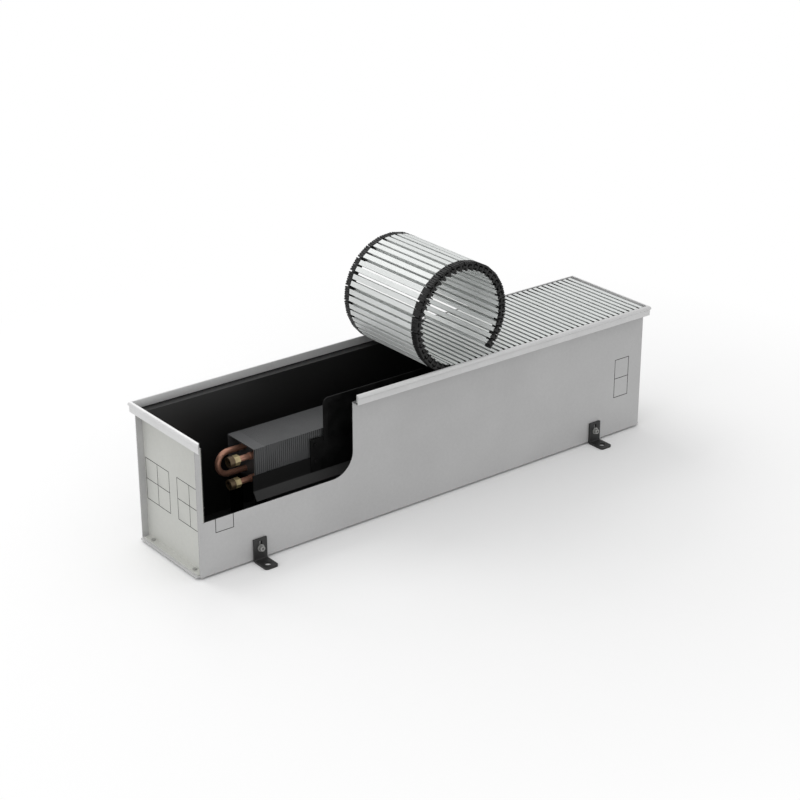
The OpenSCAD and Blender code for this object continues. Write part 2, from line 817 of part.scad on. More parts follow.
module air_guide_strip() {
    color([0.16, 0.16, 0.17])
    difference() {
        along_x(guide_x0, guide_x1 - guide_x0)
            polygon([
                [-guide_back, guide_z1], [-guide_front, guide_z1],
                [-guide_front, guide_z0], [-guide_front - guide_lip_out, guide_z0 - guide_lip_drop],
                [-guide_back - guide_lip_out, guide_z0 - guide_lip_drop], [-guide_back, guide_z0]]);
        stay_screw_holes([stay_screw_low]);
    }
}

module partition_lower() {
    color([0.06, 0.06, 0.06])
    difference() {
        box([lower_x0, -lower_front, guide_z0], [partition_x1, -guide_front, lower_z1]);
        stay_screw_holes([stay_screw_low, stay_screw_high]);
    }
}

// Outline of the upper panel with its rounded top left corner
module upper_outline(inset) {
    x0 = upper_x0 + inset;
    z1 = upper_z1 - inset;
    r = max(panel_radius - inset, hem_corner_share * panel_radius);
    difference() {
        translate([x0, upper_z0]) square([partition_x1 - x0, z1 - upper_z0]);
        difference() {
            translate([x0 - overrun, z1 - r]) square([r + overrun, r + overrun]);
            translate([x0 + r, z1 - r]) circle(r = r);
        }
    }
}

module partition_upper() {
    color([0.06, 0.06, 0.06]) {
        along_y(-upper_front, thin_sheet) upper_outline(0);
        along_y(-upper_front - hem_lift, hem_lift)
            difference() { upper_outline(0); upper_outline(hem_width); }
    }
}

module partition_stays() {
    color([0.1, 0.1, 0.1])
    difference() {
        for (x = stay_columns) box([x - stay_half, -guide_front, guide_z1], [x + stay_half, -guide_back, lower_z1]);
        stay_screw_holes([stay_screw_high]);
    }
}

module partition_screws() {
    color([0.2, 0.2, 0.2])
    for (x = stay_columns, z = [stay_screw_low, stay_screw_high]) translate([x, 0, z]) {
        rod_y(small_screw_radius, -lower_front, lower_front - guide_back);
        rod_y(small_head_radius, -lower_front - small_head_rise, small_head_rise);
    }
}

// Levelling foot at the front: an upright leg with a slot and a foot with an anchor hole
module leveller() {
    color([0.09, 0.09, 0.09])
    difference() {
        intersection() {
            union() {
                box([-foot_width / 2, -foot_front, foot_bend], [foot_width / 2, -foot_back, foot_height]);
                box([-foot_width / 2, -foot_back - foot_reach, 0], [foot_width / 2, -foot_back - foot_bend, foot_thickness]);
                along_x(-foot_width / 2, foot_width)
                    intersection() {
                        translate([-foot_back - foot_bend, foot_bend]) difference() {
                            circle(r = foot_bend);
                            circle(r = foot_bend - foot_thickness);
                        }
                        translate([-foot_back - foot_bend, 0]) square([foot_bend, foot_bend]);
                    }
            }
            union() {
                box([-foot_width / 2, foot_corner - foot_back - foot_reach, 0], [foot_width / 2, overrun, foot_height]);
                box([foot_corner - foot_width / 2, -foot_back - foot_reach, 0],
                    [foot_width / 2 - foot_corner, 0, foot_height]);
                for (side = [-1, 1])
                    translate([side * (foot_width / 2 - foot_corner), foot_corner - foot_back - foot_reach, 0])
                        cylinder(r = foot_corner, h = foot_thickness);
            }
        }
        translate([0, -half_width - anchor_place, -overrun]) cylinder(r = anchor_radius, h = foot_thickness + 2 * overrun);
        for (z = [clamp_height, clamp_height + foot_travel])
            translate([0, 0, z]) rod_y(slot_radius, -foot_front - overrun, foot_thickness + 2 * overrun);
        box([-slot_radius, -foot_front - overrun, clamp_height],
            [slot_radius, overrun - foot_back, clamp_height + foot_travel]);
    }
}

module leveller_front_left() { translate([-foot_x, 0, 0]) leveller(); }

module leveller_front_right() { translate([foot_x, 0, 0]) leveller(); }

module leveller_back_left() { mirror([0, 1, 0]) leveller_front_left(); }

module leveller_back_right() { mirror([0, 1, 0]) leveller_front_right(); }

module both_sides() {
    children();
    mirror([0, 1, 0]) children();
}

module leveller_screws() {
    color([0.7, 0.7, 0.7])
    both_sides() clamp_places() difference() {
        union() {
            rod_y(clamp_radius, -washer_back - washer_thickness, washer_back + washer_thickness - inner_half + weld_nut_height);
            rod_y(clamp_head_radius, -washer_back - washer_thickness - clamp_head_length, clamp_head_length);
        }
        translate([0, -washer_back - washer_thickness - clamp_head_length - overrun, 0]) rotate([-90, 0, 0])
            cylinder(r = clamp_socket / 2 * hex_share, h = clamp_socket_depth + overrun, $fn = 6);
    }
}

module leveller_washers() {
    color([0.75, 0.75, 0.75])
    both_sides() clamp_places() difference() {
        rod_y(washer_radius, -washer_back - washer_thickness, washer_thickness);
        rod_y(clamp_radius + fit_gap, -washer_back - washer_thickness - overrun, washer_thickness + 2 * overrun);
    }
}

module leveller_weld_nuts() {
    color([0.6, 0.6, 0.6])
    both_sides() clamp_places() difference() {
        translate([0, -inner_half, 0]) rotate([-90, 0, 0])
            cylinder(r = weld_nut_flats / 2 * hex_share, h = weld_nut_height, $fn = 6);
        rod_y(clamp_radius + fit_gap, -inner_half - overrun, weld_nut_height + 2 * overrun);
    }
}

casing_trough();
end_panel_left();
end_panel_right();
end_panel_screws();
frame_profile_front();
frame_profile_back();
frame_profile_left();
frame_profile_right();
frame_seal();
grille_bars_flat();
grille_links_flat();
grille_segment(1);  // grille_segment_01
grille_segment(2);  // grille_segment_02
grille_segment(3);  // grille_segment_03
grille_segment(4);  // grille_segment_04
grille_segment(5);  // grille_segment_05
grille_segment(6);  // grille_segment_06
grille_segment(7);  // grille_segment_07
grille_segment(8);  // grille_segment_08
grille_segment(9);  // grille_segment_09
grille_segment(10);  // grille_segment_10
grille_segment(11);  // grille_segment_11
grille_segment(12);  // grille_segment_12
grille_segment(13);  // grille_segment_13
grille_segment(14);  // grille_segment_14
grille_segment(15);  // grille_segment_15
grille_segment(16);  // grille_segment_16
grille_segment(17);  // grille_segment_17
grille_segment(18);  // grille_segment_18
grille_segment(19);  // grille_segment_19
grille_segment(20);  // grille_segment_20
fin_pack();
carrier_plate_left();
carrier_plate_right();
carrier_screws();
tubes_front();
tubes_back();
u_bend_left();
u_bends_right();
pipe_collars();
union_supply();
union_return();
air_vent_body();
air_vent_screw();
air_guide_strip();
partition_lower();
partition_upper();
partition_stays();
partition_screws();
leveller_front_left();
leveller_front_right();
leveller_back_left();
leveller_back_right();
leveller_screws();
leveller_washers();
leveller_weld_nuts();
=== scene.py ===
"""A trench convector heater with its grille half rolled up, on a pale floor."""
import json
import math

import bmesh
import bpy
from mathutils import Matrix, Vector

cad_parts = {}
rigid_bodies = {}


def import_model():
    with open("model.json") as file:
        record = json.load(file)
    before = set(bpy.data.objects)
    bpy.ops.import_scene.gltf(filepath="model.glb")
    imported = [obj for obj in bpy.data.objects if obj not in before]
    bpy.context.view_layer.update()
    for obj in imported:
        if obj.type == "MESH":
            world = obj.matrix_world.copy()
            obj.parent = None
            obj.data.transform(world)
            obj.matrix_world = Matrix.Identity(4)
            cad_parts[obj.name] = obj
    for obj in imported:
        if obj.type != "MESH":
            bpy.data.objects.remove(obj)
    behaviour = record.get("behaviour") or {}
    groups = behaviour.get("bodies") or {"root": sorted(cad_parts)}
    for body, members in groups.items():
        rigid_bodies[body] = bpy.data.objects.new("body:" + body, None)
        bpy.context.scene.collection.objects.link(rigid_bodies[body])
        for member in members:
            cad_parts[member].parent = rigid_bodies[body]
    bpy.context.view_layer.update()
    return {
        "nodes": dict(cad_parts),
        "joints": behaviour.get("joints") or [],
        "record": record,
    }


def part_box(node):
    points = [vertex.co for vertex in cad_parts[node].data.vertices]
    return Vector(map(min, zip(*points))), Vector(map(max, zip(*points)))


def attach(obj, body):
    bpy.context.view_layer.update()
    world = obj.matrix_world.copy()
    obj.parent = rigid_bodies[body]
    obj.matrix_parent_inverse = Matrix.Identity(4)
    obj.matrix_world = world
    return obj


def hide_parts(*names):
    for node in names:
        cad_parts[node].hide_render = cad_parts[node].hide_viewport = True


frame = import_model()

MM = 0.001
scene = bpy.context.scene
record = frame["record"]
body_of = {node: body for body, nodes in record["behaviour"]["bodies"].items() for node in nodes}
slot_of = {part["node"]: part["material_slot"] for part in record["subparts"]}

# Camera, in metres, with the point that it looks at
CAMERA_AT = Vector((-1.480684, -1.895373, 1.176564))
CAMERA_TARGET = Vector((0.000001, 0.000199, 0.129787))
CAMERA_LENS = 86.4414
CAMERA_SHIFT = (-0.0063, -0.0078)

# Casing, in metres
WALL_OUT = 70.5 * MM
SHEET = 1.5 * MM
FLOOR_TOP = 4.5 * MM
LEDGE_TOP = 180 * MM
PANEL_OUT = 371.5 * MM
SCORE_DEPTH = 0.4 * MM
SCORE_HALF = 0.5 * MM
SCORE_BASE = 59.7 * MM
SCORE_RISE = 29.3 * MM
SCORES = {"Y": ("X", 341.7 * MM, 26.5 * MM, 13.25 * MM, True),
          "X": ("Y", 37.8 * MM, 28.2 * MM, 28.2 * MM, False)}
BROW = 3.6 * MM
FOOT_TRAVEL = 8 * MM

# Inner pieces, in metres
UNION_MID = -291 * MM
SOCKET_OUT = 7.2 * MM
HEX_SLIM = 0.88
HEX_CUT = 2.5 * MM
LEG_TOP = 80 * MM
GUIDE_FOLD = 77 * MM
GUIDE_TOP = 98.3 * MM
FIN_PITCH = 3.2 * MM
FIN_RIM = 2.5 * MM
RIB = 0.5 * MM
BACKING = RIB / 5

# Grille bars and links, measured from the hinge line
FACE_TOP = 5.4 * MM
FACE_HALF = 2.8 * MM
FACE_THICK = 1.1 * MM
WEB_HALF = 1.0 * MM
BAR_LOW = -6.6 * MM
FOOT_HALF = 3.5 * MM
FOOT_THICK = 1.4 * MM
GRILLE_HALF = 78.4 * MM
LINK_IN = 70.5 * MM
BAR_END = 68.0 * MM
CAP = 1.0 * MM
GAP = 0.1 * MM
EYE = 2.0 * MM
PIN = 1.2 * MM
HEAD_HALF = 1.75 * MM
HEAD_ROUND = 0.8 * MM
BAR_BEVEL = 0.35 * MM

# How edges are smoothed and bevelled
SHARP_FROM = math.radians(35)
BEVEL_FROM = math.radians(40)
BEVEL_STEPS = 2
WELD = 0.002 * MM
FLAT_WITHIN = math.radians(0.5)


def node_tree(name):
    """A new material with its node tree, its shader and its object coordinates"""
    material = bpy.data.materials.new(name)
    material.use_nodes = True
    tree = material.node_tree
    shader = tree.nodes["Principled BSDF"]
    coords = tree.nodes.new("ShaderNodeTexCoord").outputs["Object"]
    return material, tree, shader, coords


def math_node(tree, operation, first, second=0.0, clamp=False):
    node = tree.nodes.new("ShaderNodeMath")
    node.operation = operation
    node.use_clamp = clamp
    for socket, value in zip(node.inputs, (first, second)):
        if isinstance(value, (int, float)):
            socket.default_value = value
        else:
            tree.links.new(value, socket)
    return node.outputs[0]


def noise(tree, coords, scale, detail=3.0, stretch=(1, 1, 1)):
    mapping = tree.nodes.new("ShaderNodeMapping")
    mapping.inputs["Scale"].default_value = stretch
    tree.links.new(coords, mapping.inputs["Vector"])
    texture = tree.nodes.new("ShaderNodeTexNoise")
    texture.inputs["Scale"].default_value = scale
    texture.inputs["Detail"].default_value = detail
    tree.links.new(mapping.outputs["Vector"], texture.inputs["Vector"])
    return texture.outputs["Fac"]


def ramp(tree, value, low, high, start, end):
    """Maps value from low..high to start..end"""
    node = tree.nodes.new("ShaderNodeMapRange")
    tree.links.new(value, node.inputs["Value"])
    node.inputs["From Min"].default_value = low
    node.inputs["From Max"].default_value = high
    node.inputs["To Min"].default_value = start
    node.inputs["To Max"].default_value = end
    return node.outputs["Result"]


def blend_colours(tree, factor, first, second):
    node = tree.nodes.new("ShaderNodeMix")
    node.data_type = "RGBA"
    tree.links.new(factor, node.inputs["Factor"])
    for socket, value in ((node.inputs[6], first), (node.inputs[7], second)):
        if isinstance(value, tuple):
            socket.default_value = (*value, 1)
        else:
            tree.links.new(value, socket)
    return node.outputs[2]


def bump(tree, shader, height, strength, distance):
    node = tree.nodes.new("ShaderNodeBump")
    node.inputs["Strength"].default_value = strength
    node.inputs["Distance"].default_value = distance
    tree.links.new(height, node.inputs["Height"])
    tree.links.new(node.outputs["Normal"], shader.inputs["Normal"])


def varied_metal(name, colour, dark, metallic, rough, grain=(1, 1, 1), grain_scale=900):
    """Metal with cloudy colour variation, fine directional grain and uneven roughness"""
    material, tree, shader, coords = node_tree(name)
    cloud = noise(tree, coords, 28, 4)
    fine = noise(tree, coords, grain_scale, 2, grain)
    mixed = math_node(tree, "ADD", math_node(tree, "MULTIPLY", cloud, 0.6),
                      math_node(tree, "MULTIPLY", fine, 0.4))
    tone = ramp(tree, mixed, 0.3, 0.7, 0, 1)
    tree.links.new(blend_colours(tree, tone, dark, colour), shader.inputs["Base Color"])
    tree.links.new(ramp(tree, mixed, 0.3, 0.7, rough + 0.06, rough - 0.04), shader.inputs["Roughness"])
    shader.inputs["Metallic"].default_value = metallic
    bump(tree, shader, fine, 0.12, 0.00008)
    return material


def plastic(name, colour, rough, grain=1400, specular=0.5):
    material, tree, shader, coords = node_tree(name)
    fine = noise(tree, coords, grain, 3)
    cloud = noise(tree, coords, 60, 3)
    light = tuple(min(1, channel * 1.7 + 0.004) for channel in colour)
    tone = ramp(tree, cloud, 0.35, 0.65, 0, 1)
    tree.links.new(blend_colours(tree, tone, colour, light), shader.inputs["Base Color"])
    tree.links.new(ramp(tree, fine, 0.3, 0.7, rough - 0.05, rough + 0.08), shader.inputs["Roughness"])
    shader.inputs["Specular IOR Level"].default_value = specular
    bump(tree, shader, fine, 0.25, 0.0001)
    return material


def inside_mask(tree, coords, limit, axis, base):
    """One where the chosen coordinate lies nearer to zero than limit and the height is above base"""
    parts = tree.nodes.new("ShaderNodeSeparateXYZ")
    tree.links.new(coords, parts.inputs["Vector"])
    near = math_node(tree, "LESS_THAN", math_node(tree, "ABSOLUTE", parts.outputs[axis]), limit)
    above = math_node(tree, "GREATER_THAN", parts.outputs["Z"], base)
    return math_node(tree, "MULTIPLY", near, above), parts


def near_lines(tree, value, step, odd):
    """Distance from value to the nearest of a row of lines one step apart"""
    shift = step if odd else step / 2
    moved = math_node(tree, "ADD", value, shift + 4 * step)
    cell = math_node(tree, "MODULO", moved, step)
    return math_node(tree, "ABSOLUTE", math_node(tree, "SUBTRACT", cell, step / 2))


def score_mask(tree, parts, groove):
    """One on the scored knockout lines of the side walls or of the end panels"""
    across, middle, step, half, odd = SCORES[groove]
    along = math_node(tree, "SUBTRACT", math_node(tree, "ABSOLUTE", parts.outputs[across]), middle)
    height = math_node(tree, "SUBTRACT", parts.outputs["Z"], SCORE_BASE + SCORE_RISE)
    line_u = math_node(tree, "LESS_THAN", near_lines(tree, along, step, odd), SCORE_HALF)
    line_z = math_node(tree, "LESS_THAN", near_lines(tree, height, SCORE_RISE, False), SCORE_HALF)
    inside_u = math_node(tree, "LESS_THAN", math_node(tree, "ABSOLUTE", along), half + SCORE_HALF)
    inside_z = math_node(tree, "LESS_THAN", math_node(tree, "ABSOLUTE", height), SCORE_RISE + SCORE_HALF)
    lines = math_node(tree, "MAXIMUM", line_u, line_z)
    return math_node(tree, "MULTIPLY", lines, math_node(tree, "MULTIPLY", inside_u, inside_z))


def two_sided_sheet(name, outside, outside_dark, limit, axis, groove, lone_ends):
    """Zinc sheet outside and black paint inside, told apart by place, with the score lines painted dark as
    painted shade
    """
    material, tree, shader, coords = node_tree(name)
    cloud = noise(tree, coords, 9, 4)
    spangle = noise(tree, coords, 240, 2)
    mixed = math_node(tree, "ADD", math_node(tree, "MULTIPLY", cloud, 0.7),
                      math_node(tree, "MULTIPLY", spangle, 0.3))
    zinc = blend_colours(tree, ramp(tree, mixed, 0.35, 0.65, 0, 1), outside_dark, outside)
    painted, parts = inside_mask(tree, coords, limit, axis, FLOOR_TOP - SHEET / 2)
    if lone_ends:
        ends = math_node(tree, "LESS_THAN", math_node(tree, "ABSOLUTE", parts.outputs["X"]),
                         PANEL_OUT - SHEET / 2)
        painted = math_node(tree, "MULTIPLY", painted, ends)
        lid = math_node(tree, "GREATER_THAN", parts.outputs["Z"], LEDGE_TOP - SHEET / 4)
        painted = math_node(tree, "MAXIMUM", painted, lid)
    depth = math_node(tree, "ABSOLUTE", parts.outputs[groove])
    face = WALL_OUT if groove == "Y" else PANEL_OUT
    # Painted shade: the bottoms of the score grooves are painted near black for the shade in the knockout
    # slits
    scored = math_node(tree, "LESS_THAN", depth, face - SCORE_DEPTH / 2)
    not_deeper = math_node(tree, "GREATER_THAN", depth, face - SCORE_DEPTH * 1.5)
    scored = math_node(tree, "MULTIPLY", scored, not_deeper)
    zinc = blend_colours(tree, scored, zinc, (0.01, 0.01, 0.01))
    # Painted shade: a dark band is painted along the knockout lines on the face
    zinc = blend_colours(tree, score_mask(tree, parts, groove), zinc, (0.03, 0.03, 0.03))
    paint = blend_colours(tree, cloud, (0.008, 0.008, 0.008), (0.014, 0.014, 0.014))
    if lone_ends:
        # Painted light: the ledge top is painted a lighter black than the inside walls, for the light falling
        # on it from above
        paint = blend_colours(tree, lid, paint, (0.035, 0.035, 0.035))
    tree.links.new(blend_colours(tree, painted, zinc, paint), shader.inputs["Base Color"])
    tree.links.new(ramp(tree, painted, 0, 1, 0.5, 0.42), shader.inputs["Roughness"])
    tree.links.new(ramp(tree, painted, 0, 1, 0.25, 0), shader.inputs["Metallic"])
    bump(tree, shader, spangle, 0.06, 0.00005)
    return material


def union_brass():
    """Pale machined brass; the sockets that stick out past the hexagons are painted dark brown, as painted
    shade for their dark open ends
    """
    material = varied_metal("brass_finish", (0.62, 0.52, 0.30), (0.46, 0.37, 0.19), 0.7, 0.34, (1, 1, 1), 600)
    tree = material.node_tree
    coords = tree.nodes["Texture Coordinate"].outputs["Object"]
    shader = tree.nodes["Principled BSDF"]
    bright = shader.inputs["Base Color"].links[0].from_socket
    parts = tree.nodes.new("ShaderNodeSeparateXYZ")
    tree.links.new(coords, parts.inputs["Vector"])
    # Painted shade: everything on the socket side of UNION_MID is painted dark brown
    socket = math_node(tree, "LESS_THAN", parts.outputs["X"], UNION_MID)
    tree.links.new(blend_colours(tree, socket, bright, (0.12, 0.085, 0.05)), shader.inputs["Base Color"])
    return material


def carrier_sheet():
    """Grey carrier plates whose legs below the tubes are painted near black, as painted shade"""
    material = varied_metal("carrier_finish", (0.105, 0.107, 0.110), (0.082, 0.084, 0.087), 0.4, 0.5)
    tree = material.node_tree
    coords = tree.nodes["Texture Coordinate"].outputs["Object"]
    shader = tree.nodes["Principled BSDF"]
    grey = shader.inputs["Base Color"].links[0].from_socket
    parts = tree.nodes.new("ShaderNodeSeparateXYZ")
    tree.links.new(coords, parts.inputs["Vector"])
    # Painted shade: below LEG_TOP the plate fades to near black with less specular, standing in for the shade
    # on the legs
    leg_shade = ramp(tree, parts.outputs["Z"], LEG_TOP, LEG_TOP - 8 * MM, 0, 1)
    tree.links.new(blend_colours(tree, leg_shade, grey, (0.003, 0.003, 0.003)), shader.inputs["Base Color"])
    tree.links.new(ramp(tree, leg_shade, 0, 1, 0.5, 0.1), shader.inputs["Specular IOR Level"])
    return material


def guide_sheet():
    """Black strip whose slanted lip is painted a dark grey, as painted light on the upward-facing lip"""
    material, tree, shader, coords = node_tree("guide_finish")
    grain = noise(tree, coords, 700, 3)
    parts = tree.nodes.new("ShaderNodeSeparateXYZ")
    tree.links.new(coords, parts.inputs["Vector"])
    # Painted light: below the fold the slanted lip is painted grey, while the upright part above it stays
    # near black
    lit_lip = ramp(tree, parts.outputs["Z"], GUIDE_FOLD, GUIDE_FOLD - MM, 0, 1)
    grey = blend_colours(tree, grain, (0.048, 0.048, 0.048), (0.062, 0.062, 0.062))
    tree.links.new(blend_colours(tree, lit_lip, (0.006, 0.006, 0.006), grey), shader.inputs["Base Color"])
    tree.links.new(ramp(tree, grain, 0.3, 0.7, 0.5, 0.62), shader.inputs["Roughness"])
    shader.inputs["Specular IOR Level"].default_value = 0.15
    bump(tree, shader, grain, 0.2, 0.0001)
    return material


FINISHES = {
    "guide_sheet": guide_sheet(),
    "zinc_sheet": two_sided_sheet("zinc_sheet_finish", (0.58, 0.58, 0.58), (0.525, 0.525, 0.525),
                                  WALL_OUT - SHEET / 2, "Y", "Y", True),
    "zinc_panel": two_sided_sheet("zinc_panel_finish", (0.60, 0.605, 0.575), (0.545, 0.55, 0.52),
                                  PANEL_OUT - SHEET / 2, "X", "X", False),
    "frame_aluminium": varied_metal("frame_finish", (0.71, 0.71, 0.71), (0.65, 0.65, 0.65), 0.3, 0.36,
                                    (1, 1, 1), 300),
    "grille_aluminium": varied_metal("grille_finish", (0.75, 0.77, 0.76), (0.69, 0.71, 0.70), 0.15, 0.46,
                                     (1, 0.06, 1), 900),
    "seal_rubber": plastic("seal_finish", (0.012, 0.012, 0.012), 0.75),
    "link_plastic": plastic("link_finish", (0.007, 0.007, 0.007), 0.5, 1400, 0.3),
    "fin_aluminium": varied_metal("fin_finish", (0.094, 0.096, 0.098), (0.070, 0.072, 0.074), 0.4, 0.5),
    "carrier_steel": carrier_sheet(),
    "copper": varied_metal("copper_finish", (0.56, 0.30, 0.215), (0.36, 0.175, 0.12), 0.65, 0.38,
                           (0.15, 1, 1), 500),
    "brass": union_brass(),
    "black_sheet": plastic("black_sheet_finish", (0.002, 0.002, 0.002), 0.55, 700, 0.12),
    "black_screw": plastic("black_screw_finish", (0.004, 0.004, 0.004), 0.6, 900, 0.12),
    "steel_screw": varied_metal("steel_screw_finish", (0.40, 0.40, 0.39), (0.30, 0.30, 0.29), 0.6, 0.35),
    "foot_steel": plastic("foot_finish", (0.012, 0.012, 0.012), 0.4, 900),
}


def add_piece(name, mesh_maker, slot, body, bevel=0.0, replaced=()):
    """Makes an object from a bmesh, bevels its edges, and lets it ride on its body"""
    bm = bmesh.new()
    mesh_maker(bm)
    bmesh.ops.recalc_face_normals(bm, faces=bm.faces)
    mesh = bpy.data.meshes.new(name)
    bm.to_mesh(mesh)
    bm.free()
    mesh.materials.append(FINISHES[slot])
    piece = bpy.data.objects.new(name, mesh)
    scene.collection.objects.link(piece)
    finish_piece(piece, body, bevel, replaced)


def finish_piece(piece, body, bevel, replaced):
    for polygon in piece.data.polygons:
        polygon.use_smooth = True
    piece.data.set_sharp_from_angle(angle=SHARP_FROM)
    if bevel:
        edges = piece.modifiers.new("edges", "BEVEL")
        edges.width = bevel
        edges.segments = BEVEL_STEPS
        edges.limit_method = "ANGLE"
        edges.angle_limit = BEVEL_FROM
        edges.harden_normals = True
    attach(piece, body)
    if replaced:
        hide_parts(*replaced)


def slim_hexagon(bm):
    """Draws a union's hexagon in to the size seen, about its own axis and from its socket's side"""
    wide = [vert for vert in bm.verts if vert.co.x > UNION_MID - GAP]
    axis = sum((vert.co for vert in bm.verts), Vector()) / len(bm.verts)
    for vert in wide:
        reach = Vector((0, vert.co.y - axis.y, vert.co.z - axis.z))
        if reach.length > SOCKET_OUT + GAP or vert.co.x > UNION_MID + MM and reach.length > SOCKET_OUT - MM:
            vert.co.y = axis.y + reach.y * HEX_SLIM
            vert.co.z = axis.z + reach.z * HEX_SLIM
        if vert.co.x > UNION_MID + MM:
            vert.co.x -= HEX_CUT


FRAME_SIDES = {"frame_profile_front": (1, -1), "frame_profile_back": (1, 1),
               "frame_profile_left": (0, -1), "frame_profile_right": (0, 1)}


def round_brow(bm, axis, side):
    """Rolls over the upper outer edge of a frame profile"""
    top = max(vert.co.z for vert in bm.verts)
    out = max(vert.co[axis] * side for vert in bm.verts)
    brow = [edge for edge in bm.edges
            if all(vert.co.z > top - GAP and vert.co[axis] * side > out - GAP for vert in edge.verts)]
    bmesh.ops.bevel(bm, geom=brow, offset=BROW, segments=6, profile=0.5, affect="EDGES")


def bevelled_node(node, bevel):
    """Stands in for a CAD node with the same shape and softened edges"""
    source = frame["nodes"][node]
    bm = bmesh.new()
    bm.from_mesh(source.data)
    bmesh.ops.remove_doubles(bm, verts=bm.verts, dist=WELD)
    bmesh.ops.dissolve_limit(bm, angle_limit=FLAT_WITHIN, verts=bm.verts, edges=bm.edges)
    if node in FRAME_SIDES:
        round_brow(bm, *FRAME_SIDES[node])
    if node.startswith("union"):
        slim_hexagon(bm)
    mesh = bpy.data.meshes.new(node + "_soft")
    bm.to_mesh(mesh)
    bm.free()
    mesh.materials.clear()
    mesh.materials.append(FINISHES["guide_sheet" if node == "air_guide_strip" else slot_of[node]])
    piece = bpy.data.objects.new(node + "_soft", mesh)
    scene.collection.objects.link(piece)
    finish_piece(piece, body_of[node], bevel, (node,))


def prism(bm, outline, low, high, place):
    """A closed prism of an (x, z) outline between two places along Y"""
    front = [bm.verts.new(place @ Vector((x, low, z))) for x, z in outline]
    back = [bm.verts.new(place @ Vector((x, high, z))) for x, z in outline]
    count = len(outline)
    bm.faces.new(front)
    bm.faces.new(list(reversed(back)))
    for i in range(count):
        j = (i + 1) % count
        bm.faces.new((front[j], front[i], back[i], back[j]))


def arc(centre, radius, start, end, steps):
    points = []
    for i in range(steps + 1):
        angle = math.radians(start + (end - start) * i / steps)
        points.append((centre[0] + radius * math.cos(angle), centre[1] + radius * math.sin(angle)))
    return points


def bar_rings():
    """The bar's cross-section where only the face is left, and in full, from the same first points"""
    under = FACE_TOP - FACE_THICK
    foot_top = BAR_LOW + FOOT_THICK
    face = [(-FACE_HALF, FACE_TOP), (FACE_HALF, FACE_TOP), (FACE_HALF, under), (WEB_HALF, under),
            (-WEB_HALF, under), (-FACE_HALF, under)]
    stem = [(WEB_HALF, foot_top), (FOOT_HALF, foot_top), (FOOT_HALF, BAR_LOW), (-FOOT_HALF, BAR_LOW),
            (-FOOT_HALF, foot_top), (-WEB_HALF, foot_top)]
    return face, stem


def add_bar(bm, place):
    """One aluminium bar: an I-section whose face runs on over the end links"""
    face, stem = bar_rings()
    face_end = GRILLE_HALF - CAP - GAP
    stem_end = BAR_END - GAP
    stations = []
    for y in (-face_end, -stem_end, stem_end, face_end):
        stations.append([bm.verts.new(place @ Vector((x, y, z))) for x, z in face])
    stems = []
    for y in (-stem_end, stem_end):
        stems.append([bm.verts.new(place @ Vector((x, y, z))) for x, z in stem])
    for first, second in ((0, 1), (2, 3)):
        a = stations[first]
        b = stations[second]
        for i in range(6):
            j = (i + 1) % 6
            bm.faces.new((a[i], a[j], b[j], b[i]))
    a = stations[1][:4] + stems[0] + stations[1][4:]
    b = stations[2][:4] + stems[1] + stations[2][4:]
    for i in range(12):
        j = (i + 1) % 12
        bm.faces.new((a[i], a[j], b[j], b[i]))
    bm.faces.new(a[3:11])
    bm.faces.new(list(reversed(b[3:11])))
    bm.faces.new(stations[0])
    bm.faces.new(list(reversed(stations[3])))


def link_outline(eye_side, head):
    """Outline of a link layer: a toothed shoe, an eye on one side and a tooth that may carry a head"""
    tooth = 1.6 * MM
    shoe = 4.6 * MM
    shoe_top = -3.7 * MM
    notch_in = 1.15 * MM
    notch_out = 2.35 * MM
    notch_top = -5.5 * MM
    neck = 1.3 * MM
    top = FACE_TOP - FACE_THICK - GAP
    half_pitch = PITCH / 2
    right = [(notch_in, BAR_LOW), (notch_in, notch_top), (notch_out, notch_top), (notch_out, BAR_LOW),
             (shoe, BAR_LOW), (shoe, shoe_top), (tooth, shoe_top)]
    left = [(-x, z) for x, z in reversed(right)]
    if eye_side:
        reach = math.degrees(math.asin(neck / EYE))
        eye = arc((half_pitch, 0), EYE, 180 + reach, 540 - reach, 14)
        if eye_side < 0:
            eye = [(-x, z) for x, z in reversed(eye)]
    crown = [(tooth, top), (-tooth, top)]
    if head:
        crown = [(tooth, top), (HEAD_HALF, top + GAP)]
        crown += arc((HEAD_HALF - HEAD_ROUND, FACE_TOP - HEAD_ROUND), HEAD_ROUND, 0, 90, 4)
        crown += arc((HEAD_ROUND - HEAD_HALF, FACE_TOP - HEAD_ROUND), HEAD_ROUND, 90, 180, 4)
        crown += [(-HEAD_HALF, top + GAP), (-tooth, top)]
    outline = right
    if eye_side > 0:
        outline = outline + [(tooth, -neck)] + eye + [(tooth, neck)]
    outline = outline + crown
    if eye_side < 0:
        outline = outline + [(-tooth, neck)] + eye + [(-tooth, -neck)]
    return outline + left


def add_link(bm, place, side, eye=True, pin=True):
    """The black end link of one bar: the eye lies outside, the eye with the pin inside"""
    split = LINK_IN + (GRILLE_HALF - LINK_IN) / 2
    cap_in = GRILLE_HALF - CAP
    flip = place @ Matrix.Diagonal((1, side, 1, 1))
    prism(bm, link_outline(-1 if pin else 0, False), BAR_END, split - GAP, flip)
    prism(bm, link_outline(1 if eye else 0, False), split - GAP, cap_in, flip)
    prism(bm, link_outline(1 if eye else 0, True), cap_in, GRILLE_HALF, flip)
    if pin:
        dot = arc((-PITCH / 2, 0), PIN, 0, 345, 23)
        prism(bm, dot, split - GAP, GRILLE_HALF + 2 * GAP, flip)


